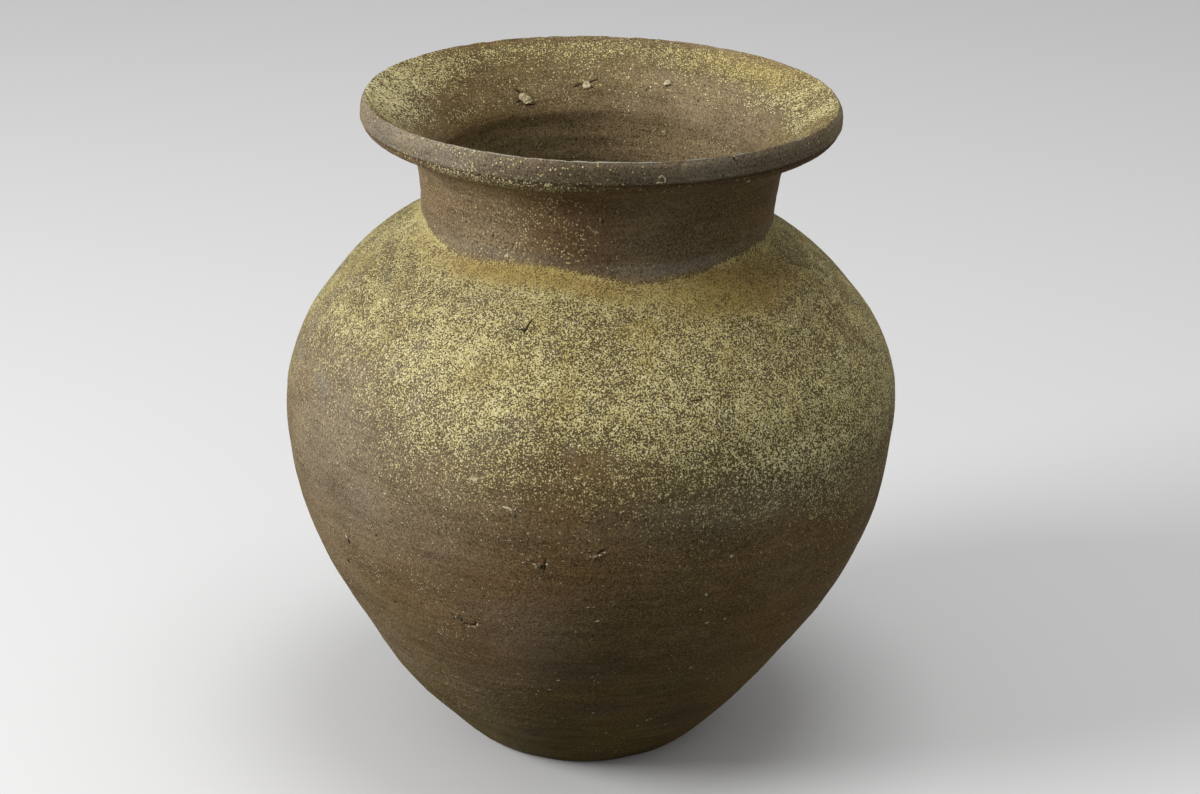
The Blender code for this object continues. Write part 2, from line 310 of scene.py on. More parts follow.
def column_turns():
    """The turns of the columns, closer together on the side that faces the viewer."""
    fine = np.linspace(0.0, 1.0, TURN_SAMPLES)
    crowd = 1 + (FRONT_DENSITY - 1) * band(fine, *FRONT_TURNS, FRONT_SOFTNESS)
    reached = np.concatenate([[0.0], np.cumsum((crowd[1:] + crowd[:-1]) / 2)])
    return np.interp(np.arange(COLUMNS) / COLUMNS, reached / reached[-1], fine)


def lattice(x, y, z, seed):
    """A fixed random value from -1 to 1 for each cell of a lattice."""
    mixed = x * 73856093 ^ y * 19349663 ^ z * 83492791 ^ seed * 50331653
    mixed = (mixed ^ (mixed >> 13)) * 1274126177 & 0xFFFFFFFF
    mixed = (mixed ^ (mixed >> 15)) * 668265263 & 0xFFFFFFFF
    return ((mixed >> 8) & 0xFFFF) / 32767.5 - 1


def noise(points, size, seed):
    """Smooth noise from -1 to 1. Its lumps have a size in millimetres, or one for x, y and z."""
    scaled = points / (np.array(size) * MM)
    cells = np.floor(scaled)
    part = scaled - cells
    part = part * part * (3 - 2 * part)
    cells = cells.astype(np.int64)
    total = 0.0
    for corner in np.ndindex(2, 2, 2):
        weight = np.abs(1 - np.array(corner) - part).prod(axis=-1)
        total = total + weight * lattice(*np.moveaxis(cells + corner, -1, 0), seed)
    return total


class Skin:
    """The rows and columns of the jar's whole surface, and the values painted on them.

    The level is the height of a row in the true turned form, and from_lip its way from the
    lip. These two and the raised clay are in millimetres, all places in metres.
    """

    def __init__(self):
        path, self.outer_rows, self.inner_rows, self.lip_row = skin_path()
        self.turns = column_turns()
        angle = math.tau * self.turns
        round_about = np.stack([np.cos(angle), np.sin(angle)])
        ahead = np.gradient(path, axis=0)
        ahead /= np.linalg.norm(ahead, axis=1, keepdims=True)
        self.turned = self.spun(path, round_about)
        self.outward = self.spun(np.stack([ahead[:, 1], -ahead[:, 0]], -1), round_about)
        self.row = np.arange(len(path))[:, None]
        self.level = path[:, 1:] / MM
        self.from_lip = (self.row - self.lip_row) * RIM_STEP / MM
        self.is_outside = (self.row <= self.lip_row) * np.ones((1, COLUMNS))
        self.raised = np.zeros((len(path), COLUMNS))
        self.layers = {}
        self.place = self.settled(self.turned)

    @staticmethod
    def spun(path, round_about):
        x = path[:, :1] * round_about[0]
        y = path[:, :1] * round_about[1]
        return np.stack([x, y, np.broadcast_to(path[:, 1:], x.shape)], -1)

    @staticmethod
    def settled(points):
        """Where points of the true turned form ended up after the jar leaned and sagged."""
        x, y, z = points[..., 0], points[..., 1], points[..., 2]
        above_crease = ease(z, BAND_FOOT_HEIGHT - BAND_UNDERCUT, JAR_HEIGHT)
        lifted = (FRONT_LIFT * np.clip(-y / RIM_RADIUS, 0, 1) - LIP_SINK) * above_crease
        return np.stack([x + lean_at(z), y, z - x * tilt_at(z) + lifted], -1)

    def settle(self):
        """Moves the surface out or in by what was raised, and works out its normals."""
        self.place = self.settled(self.turned + self.outward * self.raised[..., None] * MM)
        along = np.gradient(self.place, axis=0)
        across = np.roll(self.place, -1, 1) - np.roll(self.place, 1, 1)
        normal = np.cross(across, along)
        length = np.linalg.norm(normal, axis=-1, keepdims=True)
        self.normal = normal / np.where(length == 0, 1, length)
        self.normal[0] = (0.0, 0.0, -1.0)
        self.normal[-1] = (0.0, 0.0, 1.0)

    def nearest(self, turn, height, is_outside):
        """The row and column closest to a turn and a height."""
        gap = np.abs(self.turns - turn)
        column = int(np.argmin(np.minimum(gap, 1 - gap)))
        away = np.abs(self.place[:, column, 2] - height)
        wrong_side = (self.row[:, 0] <= self.lip_row) != is_outside
        return int(np.argmin(away + wrong_side)), column


skin = Skin()

# Finger grooves in the mouth and the slower swells in the throat, in millimetres
GROOVE_SPACING = 10.5
SWELL_SPACING = 15.0


def facing(centre, half):
    """1 at a turn and smoothly less away from it, round the jar."""
    gap = np.abs(skin.turns - centre)
    return hump(np.minimum(gap, 1 - gap), half)


def lumps(size, seed):
    """Noise on the turned form, with lumps of a size in millimetres."""
    return noise(skin.turned, size, seed)


def throwing_marks():
    """The hand's traces: an uneven round, finger ridges, grooves in the mouth and a dry grain."""
    level, out = skin.level, skin.is_outside
    uneven = 0.28 * (lumps(70, 1) - 1) + 0.16 * lumps(24, 2)
    ridges = 0.11 * lumps((90, 90, 5.0), 3) + 0.05 * lumps((50, 50, 2.2), 4)
    scraped = 0.13 * lumps((40, 40, 8.0), 5) * (1 - ease(level, 110, 190))
    on_body = out * ease(level, 0.5, 6) * (1 - ease(level, 300, 314))
    skin.raised += on_body * (uneven + ridges + scraped)
    swelling = 1.5 * facing(0.0, 0.14) * band(level, 70, 145, 20)
    swelling += 1.2 * facing(0.5, 0.14) * band(level, 22, 62, 16)
    grain = 0.075 * lumps(2.7, 6) + 0.055 * lumps(1.4, 7)
    skin.raised += out * swelling + grain * ease(level, 0.5, 3)
    run = np.cumsum(np.linalg.norm(np.diff(skin.turned[:, 0], axis=0, prepend=0), axis=1)) / MM
    wander = 2.6 * lumps((50, 50, 14), 8)
    groove = np.sin(math.tau * (run[:, None] + wander) / GROOVE_SPACING)
    grooves = 0.08 * groove * (0.5 + 0.5 * lumps((60, 60, 8), 9)) + 0.10 * lumps((30, 30, 4), 10)
    skin.raised += (1 - out) * ease(level, 268, 284) * grooves
    swell = np.sin(math.tau * (level - 296 + 0.5 * wander) / SWELL_SPACING)
    in_throat = (1 - out) * band(level, 280, 306, 4)
    skin.raised += in_throat * 0.20 * (swell - 1) * (0.8 + 0.4 * lumps(40, 16))


def worn_rim():
    """A lip that was wiped by hand: it rises and falls a little and is nibbled in places."""
    level, out = skin.level, skin.is_outside
    angle = math.tau * skin.turns
    ring = RIM_RADIUS * np.stack([np.cos(angle), np.sin(angle), 0 * angle], -1)
    wave = noise(ring, 34, 11) - 1
    nibble = np.minimum(noise(ring, 5, 12) + 0.15, 0)
    skin.raised += hump(skin.from_lip, 2.2) * (0.22 * wave + 0.55 * nibble)
    uneven = 0.16 * (lumps(20, 13) - 1) + 0.07 * lumps((30, 30, 2.4), 14)
    skin.raised += out * ease(level, 314, 317) * uneven
    crease_line = 315 + 0.6 * noise(ring, 40, 15)
    crease = hump(level - crease_line, 0.7)
    undercut = hump(level - crease_line - 4.6, 0.6)
    skin.raised -= out * (0.55 * crease + 0.40 * undercut)


# Scars, placed by turn and height, each with its strokes. A stroke is (kind, size, amount)
# right there, (kind, across, up, size, amount) in millimetres from there, or
# (kind, from across, from up, to across, to up, width, amount)
SCARS = (
    (0.705, 0.2505,
        ("cut", 0, 0, 1.6, 6, 0.9, 0.9),
        ("cut", 0, 0, -4.6, 0.6, 0.9, 0.9),
        ("cut", -1, -0.4, 4.2, -4.2, 0.8, 0.8),
        ("cut", 2.6, -0.6, 7, 2.4, 0.6, 0.5),
    ),
    (0.807, 0.2234, ("cut", -3, 0, 2.6, 0.2, 1, 0.8)),
    (0.893, 0.2199, ("cut", -2, 2.6, 2.6, -3.4, 0.8, 0.6)),
    (0.668, 0.2600, ("cut", -0.4, -1.4, 0.5, 1.4, 0.5, 0.3)),
    (0.679, 0.1134,
        ("rise", 6.5, 0.35),
        ("pit", 3.4, 0.9),
        ("cut", -3.4, 2.4, -2.6, -2.2, 0.9, 0.8),
        ("cut", 2.2, -2.6, 6.6, -3.2, 1, 0.9),
        ("cut", 6.6, -3.2, 8, -0.6, 0.8, 0.7),
        ("scratch", 3.4, -4.6, 6.4, -4.4, 0.8, 0.8),
        ("scratch", 7.6, -3.6, 8.8, -1, 0.7, 0.7),
        ("scratch", -1.8, 1, 0.2, 0.4, 1.1, 0.9),
    ),
    (0.754, 0.1579,
        ("rise", 7.5, 0.40),
        ("pit", 0, -0.8, 2.4, 0.8),
        ("cut", -4.2, 1.4, -0.8, 0.3, 0.7, 0.7),
        ("cut", 0.6, 0.4, 3.6, 2.2, 0.8, 0.8),
        ("cut", 3.6, 2.2, 5.6, 2.8, 0.6, 0.6),
        ("cut", -1.2, -0.6, -2.4, -3, 0.6, 0.5),
        ("scratch", -0.6, -0.8, 1.6, -0.2, 1.3, 0.9),
        ("scratch", -3.6, 1.8, -1.6, 0.2, 0.7, 0.6),
        ("scratch", 3, 0.6, 4.6, 1.8, 0.7, 0.6),
        ("chalk", -4, -1.4, 0.9, 0.8),
    ),
    (0.727, 0.1506,
        ("rise", 5, 0.25),
        ("pit", 0.4, -0.4, 2.2, 0.8),
        ("scratch", -3.6, 0.8, -1.6, -0.4, 0.8, 0.7),
        ("scratch", 1, 0.6, 2.6, 1.4, 0.8, 0.8),
        ("chalk", -5.6, 2.8, 0.9, 0.8),
        ("cut", 1.4, -1.8, 1.8, 3.6, 0.9, 0.8),
        ("scratch", 2.6, -3.4, 4.2, -2.6, 0.7, 0.7),
    ),
    (0.712, 0.1777,
        ("rise", -1, 1.2, 6, 0.35),
        ("pit", 0.8, -1, 2.2, 0.8),
        ("scratch", -3.6, 2.4, -0.8, 1.4, 1.2, 0.8),
        ("scratch", -0.8, 1.4, 1.4, 0.8, 1.4, 0.9),
        ("scratch", 1.8, 1.6, 3, 2.8, 0.8, 0.7),
        ("cut", 0.6, -2, 4, -2.6, 0.8, 0.7),
    ),
    (0.693, 0.1902, ("scratch", -1.6, 0.2, 1.2, 0, 1.2, 0.9), ("chalk", 2.4, 0.6, 0.9, 0.7)),
    (0.607, 0.1369, ("pit", 0.8, -0.6, 2.6, 0.8), ("chalk", -0.6, 2, 1.3, 1)),
    (0.600, 0.1222, ("pit", 2.4, 0.9), ("rise", 4, 0.2)),
    (0.607, 0.1790, ("chalk", 1.3, 0.9), ("pit", 1.6, -1, 1.4, 0.5)),
    (0.643, 0.1735, ("chalk", 1.4, 1), ("pit", -1.4, 0.6, 1.3, 0.5)),
    (0.634, 0.1490, ("pit", 1.8, 0.6), ("rise", 0, -1, 4, 0.15)),
    (0.634, 0.1103, ("pit", 2.2, 0.7), ("rise", 1, 1, 5, 0.25)),
    (0.823, 0.1501, ("chalk", 1.7, 0.9)),
    (0.812, 0.1302, ("chalk", 1.4, 0.9), ("pit", 1.6, -0.8, 1.2, 0.5)),
    (0.810, 0.1216, ("chalk", 1.1, 0.9), ("cut", -6, -0.8, -3.4, -0.6, 0.8, 0.6)),
    (0.816, 0.0805, ("chalk", 1.1, 1), ("chalk", 2, 0.6, 0.9, 0.9)),
    (0.726, 0.0698, ("chalk", 1.3, 1)),
    (0.802, 0.0411, ("chalk", 1.2, 1), ("chalk", 2, 0.8, 0.9, 0.9)),
    (0.796, 0.0374, ("chalk", 1.2, 0.9)),
    (0.824, 0.0335, ("chalk", 1.1, 0.9)),
    (0.668, 0.0586, ("pit", 1.6, 0.6), ("chalk", 0.8, 1.4, 0.9, 0.8)),
    (0.615, 0.0700, ("cut", -2, 2, 2, -2.4, 1, 0.7)),
    (0.750, 0.1279, ("chalk", 1.1, 0.9), ("chalk", 2.6, 0.2, 1, 0.9)),
    (0.690, 0.0483, ("cut", -3, 0.4, 3, -0.8, 0.9, 0.6)),
    (0.640, 0.0160, ("dent", 16, 0.4)),
    (0.690, 0.0030, ("dent", 13, 0.5)),
    (0.818, 0.0030, ("dent", 14, 0.6)),
    (0.715, 0.0987, ("rise", 24, 0.5), ("dent", -18, 0, 22, 0.5)),
    (0.721, 0.1311, ("rise", 20, 0.4)),
    (0.713, 0.0683, ("rise", 20, 0.5), ("dent", 20, 4, 24, 0.5)),
    (0.787, 0.3227,
        ("rise", 5, 0.30),
        ("scratch", -2.2, -1.4, 0.6, -1.6, 0.7, 0.7),
        ("scratch", -1.4, 0.8, 0.2, 2, 0.7, 0.6),
        ("scratch", 0.2, 2, 2, 0.8, 0.7, 0.8),
        ("scratch", 2, 0.8, 1.4, -1.4, 0.6, 0.6),
        ("chalk", 0.2, 0.2, 0.7, 0.6),
    ),
    (0.776, 0.3235,
        ("scratch", 0.4, 2.6, 0.6, -1.2, 0.4, 0.3),
        ("scratch", -2, -2.4, -1, -3.6, 0.5, 0.5),
    ),
    (0.778, 0.3240, ("rise", 2.2, 0.25), ("rise", -0.6, 3, 2, 0.25)),
    (0.837, 0.3275, ("pit", 0, 1, 1.6, 0.7), ("cut", 0, 0, 3.4, -1, 0.6, 0.4)),
    (0.800, 0.3290, ("chip", 3, 0.7)),
    (0.716, 0.3290, ("chip", 2.4, 0.6)),
    (0.850, 0.3155, ("chalk", 1.8, 0.8)),
    (0.308, 0.3285, ("chip", 6, 0.8)),
    (0.095, 0.3285, ("chip", 7, 0.8)),
    (0.720, 0.2800, ("chalk", 1.1, 0.8), ("pit", 1.5, 0, 1.2, 0.5)),
    (0.655, 0.2830, ("pit", 1.6, 0.7)),
    (0.752, 0.2960, ("chalk", -1, 0.6, 1.3, 0.8), ("pit", 0.8, -0.6, 1.6, 0.7)),
    (0.420, 0.1900, ("pit", 3, 0.9), ("chalk", 2.4, 0.8, 1.3, 0.8)),
    (0.300, 0.1400, ("rise", 5, 0.3), ("cut", -4, 1, 4, 2, 1, 0.8)),
    (0.180, 0.2100, ("cut", -3, -1, 3, 2, 1, 0.8)),
    (0.080, 0.1200, ("pit", 2.6, 0.9), ("chalk", -2, 0, 1.2, 0.8)),
    (0.260, 0.0700, ("chalk", 1.3, 0.9), ("dent", 20, 0, 24, 0.5)),
)
# The two crumbs that lie in the flare tore the clay a little where they stuck
MOUTH_SCARS = (
    (0.328, 0.3075,
        ("cut", -4.6, -1.4, -1.6, -0.6, 0.8, 0.7),
        ("cut", -3, 5.2, -1, 3.4, 1.2, 0.9),
        ("cut", 1.8, -3, 4.4, -3.6, 0.8, 0.7),
    ),
    (0.2645, 0.3115,
        ("cut", -6, -1.4, -1.8, 0.4, 0.8, 0.8),
        ("cut", 1.8, 1.2, 6.2, 2.8, 0.8, 0.8),
        ("cut", 2, -1.4, 4.6, -2, 0.7, 0.6),
    ),
    (0.205, 0.3090, ("pit", 1.5, 0.7)),
    (0.150, 0.3080, ("pit", 1.3, 0.6)),
)
SCAR_REACH = 30 * MM
EDGE_FALL = 2.4 * MM
FRAY = 0.45 * MM
FRAY_SIZE = 1.9
CHALK_SQUASH = 0.7
RIDGE_AWAY = 1.3
RIDGE_HALF = 0.5

# Pinholes and grit: heights in metres, widths in millimetres, and how deep they may be
PIT_COUNT = 420
PIT_SEED = 7
PIT_HEIGHTS = (0.006, 0.285)
PIT_WIDTHS = (0.8, 1.8)
PIT_DEPTHS = (0.3, 0.6)
GRIT_CHANCE = 0.45

# What each kind of stroke paints, how far it raises the clay and the ridge it pushes up
STROKES = {
    # Cuts and pits paint the scar layer, which the material fills with painted shade
    "cut": ("scar", -0.8, 0.0),
    "pit": ("scar", -0.8, 0.22),
    "chalk": ("chalk", 0.25, 0.0),
    "chip": (None, -1.0, 0.0),
    "scratch": ("chalk", 0.15, 0.0),
    "rise": (None, 1.0, 0.0),
    "dent": (None, -1.0, 0.0),
}


def paint(name, amount, block=...):
    """Lays a value from 0 to 1 on the skin or a block of it, where it beats what is there."""
    layer = skin.layers.setdefault(name, np.zeros_like(skin.raised))
    layer[block] = np.maximum(layer[block], np.clip(amount, 0, 1))


def add_stroke(block, across, up, stroke):
    """Raises, sinks or colours one block of the skin by one stroke of a scar.

    What it colours falls off evenly from the stroke and is one half at its edge, where the
    material cuts it off.
    """
    kind, *way, size, amount = stroke
    layer, raise_by, ridge = STROKES[kind]
    start = np.array(way[:2] or (0.0, 0.0)) * MM
    across, up = across - start[0], up - start[1]
    if len(way) == 4:
        run = np.array(way[2:]) * MM - start
        share = np.clip((across * run[0] + up * run[1]) / (run @ run), 0, 1)
        across, up = across - run[0] * share, up - run[1] * share
    if kind == "chalk":
        across = CHALK_SQUASH * across
    width = size * MM / 2
    distance = np.hypot(across, up)
    away = distance / width
    pushed_up = ridge * hump(away - RIDGE_AWAY, RIDGE_HALF)
    skin.raised[block] += amount * (raise_by * hump(away, 1) + pushed_up)
    if layer:
        reach = width * between(0.6, 1.0, amount)
        paint(layer, 0.5 + (reach - distance) / EDGE_FALL, block)


def add_scar(turn, height, strokes, is_outside):
    """Finds the place of one scar and lays its strokes there."""
    row, column = skin.nearest(turn, height, is_outside)
    centre = skin.place[row, column]
    angle = math.tau * skin.turns[column]
    sideways = np.array([-math.sin(angle), math.cos(angle), 0.0])
    upward = skin.place[row + 1, column] - skin.place[row - 1, column]
    upward /= np.linalg.norm(upward)
    if not is_outside:
        sideways, upward = -sideways, -upward
    near = np.abs(skin.place[:, column] - centre).max(axis=1) < SCAR_REACH
    same_side = (skin.row[:, 0] <= skin.lip_row) == is_outside
    near_columns = np.linalg.norm(skin.place[row] - centre, axis=1) < SCAR_REACH
    block = np.ix_(np.nonzero(near & same_side)[0], np.nonzero(near_columns)[0])
    offset = skin.place[block] - centre
    across = offset @ sideways + FRAY * noise(skin.turned[block], FRAY_SIZE, 51)
    up = offset @ upward + FRAY * noise(skin.turned[block], FRAY_SIZE, 52)
    for stroke in strokes:
        add_stroke(block, across, up, stroke)


def small_pits():
    """Pinholes and grit all over the outside."""
    chance = np.random.default_rng(PIT_SEED)
    for _ in range(PIT_COUNT):
        turn, up, size, pale = chance.random(4)
        kind = "chalk" if pale > 1 - GRIT_CHANCE else "pit"
        stroke = (kind, between(*PIT_WIDTHS, size * size), between(*PIT_DEPTHS, pale))
        add_scar(turn, between(*PIT_HEIGHTS, up), [stroke], True)


throwing_marks()
worn_rim()
for table, is_outside in ((SCARS, True), (MOUTH_SCARS, False)):
    for turn, height, *strokes in table:
        add_scar(turn, height, strokes, is_outside)
small_pits()
skin.settle()


# Lines round the jar: where the ash stops under the neck, where it starts to thin out
# and where the last grains lie, as (turn, height in millimetres)
NECK_LINE = (
    (0.020, 270.6), (0.120, 271.2), (0.250, 272), (0.400, 274.5), (0.500, 277),
    (0.539, 276.1), (0.561, 273.3), (0.598, 271.2), (0.643, 270.8), (0.683, 271.7),
    (0.701, 272), (0.736, 269.6), (0.769, 266.9), (0.795, 265.7), (0.842, 266.6),
    (0.891, 268.2), (0.938, 269.7), (0.968, 270.5),
)
DENSE_LINE = (
    (0.030, 184), (0.120, 196), (0.250, 206), (0.380, 202), (0.460, 196),
    (0.507, 198), (0.551, 213), (0.577, 219), (0.601, 218), (0.622, 214),
    (0.639, 209.5), (0.654, 206), (0.673, 203), (0.705, 202.5), (0.720, 206),
    (0.734, 211), (0.749, 209), (0.764, 207), (0.779, 204), (0.794, 201),
    (0.814, 196), (0.836, 190), (0.860, 187.5), (0.890, 181.5), (0.921, 176.5),
    (0.960, 176.5),
)
LAST_LINE = (
    (0.030, 152), (0.120, 162), (0.250, 174), (0.380, 172), (0.480, 168),
    (0.532, 180), (0.577, 192), (0.606, 192), (0.639, 182), (0.664, 178),
    (0.707, 178), (0.745, 180), (0.764, 178), (0.784, 171), (0.804, 168),
    (0.849, 166), (0.879, 154), (0.910, 146), (0.957, 146),
)


def kiln_ash():
    """Where ash fell on the outside: the shoulder, the neck and the under edge of the rim."""
    height = skin.place[..., 2] / MM
    neck, dense, last = (
        curve_round(line)(skin.turns) for line in (NECK_LINE, DENSE_LINE, LAST_LINE)
    )
    ragged = 4.0 * lumps(15, 21) + 2.2 * lumps(6, 22)
    up = height + ragged + 3.0 * lumps((60, 60, 5.5), 23)
    scattered = np.clip((up - last + 5) / (dense - last + 5), 0, 1)
    gathered = ease(up, dense - 6, dense + 6)
    piled = ease(up, dense, dense + 34)
    below = 1 - ease(height + 0.25 * ragged, neck - 1.0, neck + 0.9)
    near_neck = ease(height, neck - 12, neck - 5)
    left = facing(0.562, 0.078) * (1 - ease(height, 212, 238))
    cover = 0.13 * ease(scattered, 0, 0.2) + 0.32 * scattered**0.6 - 0.19 * left
    cover += 0.08 * gathered * (1 - left) + 0.02 * piled
    cover -= 0.09 * facing(0.7466, 0.011) * band(height, 199, 208, 3)
    thinned = 0.11 * facing(0.930, 0.070) + 0.06 * facing(0.765, 0.055) * (1 - piled)
    cover += (0.07 * lumps(10, 29) - thinned) * scattered
    bare = np.maximum(lumps(22, 24) - 0.12, 0) * (0.7 - 0.5 * facing(0.53, 0.10))
    bare += 0.55 * np.maximum(lumps(9, 25), 0)
    bare *= (1 - 0.75 * facing(0.875, 0.110)) * (1 - 0.8 * near_neck) * scattered
    cover += 0.10 * near_neck - 0.24 * bare
    cover -= 0.05 * facing(0.572, 0.050) * band(height, 222, 262, 10)
    under_rim = facing(0.668, 0.064) * band(height, 314, 322, 1.6)
    cover = cover * below + 0.14 * hump(height - neck - 0.6, 1.3)
    cover += 0.48 * under_rim * (0.8 + 0.8 * lumps(6, 27))
    thin = 0.13 * below * ease(height, last - 60, last)
    on_neck = facing(0.692, 0.048) * band(height, 268, 312, 4) * (1 - below)
    on_band = band(height, 315, 340, 1.5) * (0.03 + 0.24 * facing(0.668, 0.055))
    sprinkle = 0.40 * on_neck * (0.9 + 1.0 * lumps(7, 26)) + 0.55 * under_rim
    sprinkle += on_band * (0.8 + 0.7 * lumps(12, 28))
    paint("sprinkle", sprinkle * skin.is_outside)
    return np.maximum(cover, thin) * skin.is_outside


def mouth_ash():
    """Where ash fell into the mouth: thick under the lip and thin further down the flare."""
    drop = JAR_HEIGHT / MM - skin.level
    ends = facing(0.47, 0.09) + facing(0.01, 0.08)
    back_right = facing(0.130, 0.085)
    reach = 11.0 + 7.0 * ends + 4.5 * back_right + 3.4 * lumps(14, 31)
    thick = 0.39 + 0.14 * ends + 0.16 * facing(0.48, 0.07) + 0.11 * back_right
    thick = thick - 0.26 * np.maximum(lumps(11, 32), 0)
    cover = thick * (1 - ease(drop, reach * 0.25, reach * 1.5))
    cover += 0.36 * hump(drop - 24, 4.5) * facing(0.37, 0.10) * (0.7 + 0.6 * lumps(9, 33))
    cover *= 1 - 0.55 * (1 - ease(drop, 0.8, 3.2)) * (1 - np.clip(ends, 0, 1))
    thin = 0.17 * (1 - ease(drop, 16, 34))
    return np.maximum(cover, thin) * (1 - skin.is_outside)


# Patches of colour on the outside: layer, strength, turn, half width in turns, and from
# which height to which they reach and how softly they end there, in millimetres
PATCHES = (
    ("pale", 0.50, 0.7205, 0.020, 80, 126, 14),
    ("pale", -0.12, 0.515, 0.040, 90, 240, 20),
    ("red", 0.95, 0.730, 0.045, 272, 316, 3),
    ("red", 0.50, 0.950, 0.040, 272, 316, 3),
    ("red", 0.35, 0.895, 0.045, 145, 190, 12),
    ("red", 0.30, 0.640, 0.060, 85, 165, 20),
    ("red", 0.30, 0.7205, 0.020, 80, 126, 14),
    ("red", 0.50, 0.797, 0.030, 46, 60, 9),
    ("bloom", 0.35, 0.800, 0.060, 272, 316, 3),
    ("bloom", 0.45, 0.830, 0.060, 162, 184, 9),
    ("bloom", 0.60, 0.612, 0.060, 145, 225, 20),
    ("bloom", 0.30, 0.7205, 0.020, 80, 126, 14),
    ("ember", 0.45, 0.655, 0.030, 98, 118, 10),
    ("ember", 0.60, 0.775, 0.030, 10, 45, 12),
    ("gold", 0.80, 0.870, 0.065, 251, 265, 5),
    ("gold", 0.25, 0.7305, 0.013, 214, 228, 6),
    ("sooty", 0.22, 0.738, 0.030, 272, 316, 3),
    # Whiter, crisper grains; under the rim also painted light
    ("salt", 0.80, 0.660, 0.070, 314, 324, 1.6),
    ("salt", 0.20, 0.600, 0.080, 190, 262, 14),
    ("salt", 0.60, 0.850, 0.070, 160, 198, 8),
)


def patches(name):
    """The patches of one layer, laid together."""
    height = skin.place[..., 2] / MM
    total = np.zeros_like(height)
    for layer, strength, turn, half, low, high, soft in PATCHES:
        if layer == name:
            total += strength * facing(turn, half) * band(height, low, high, soft)
    return total * skin.is_outside


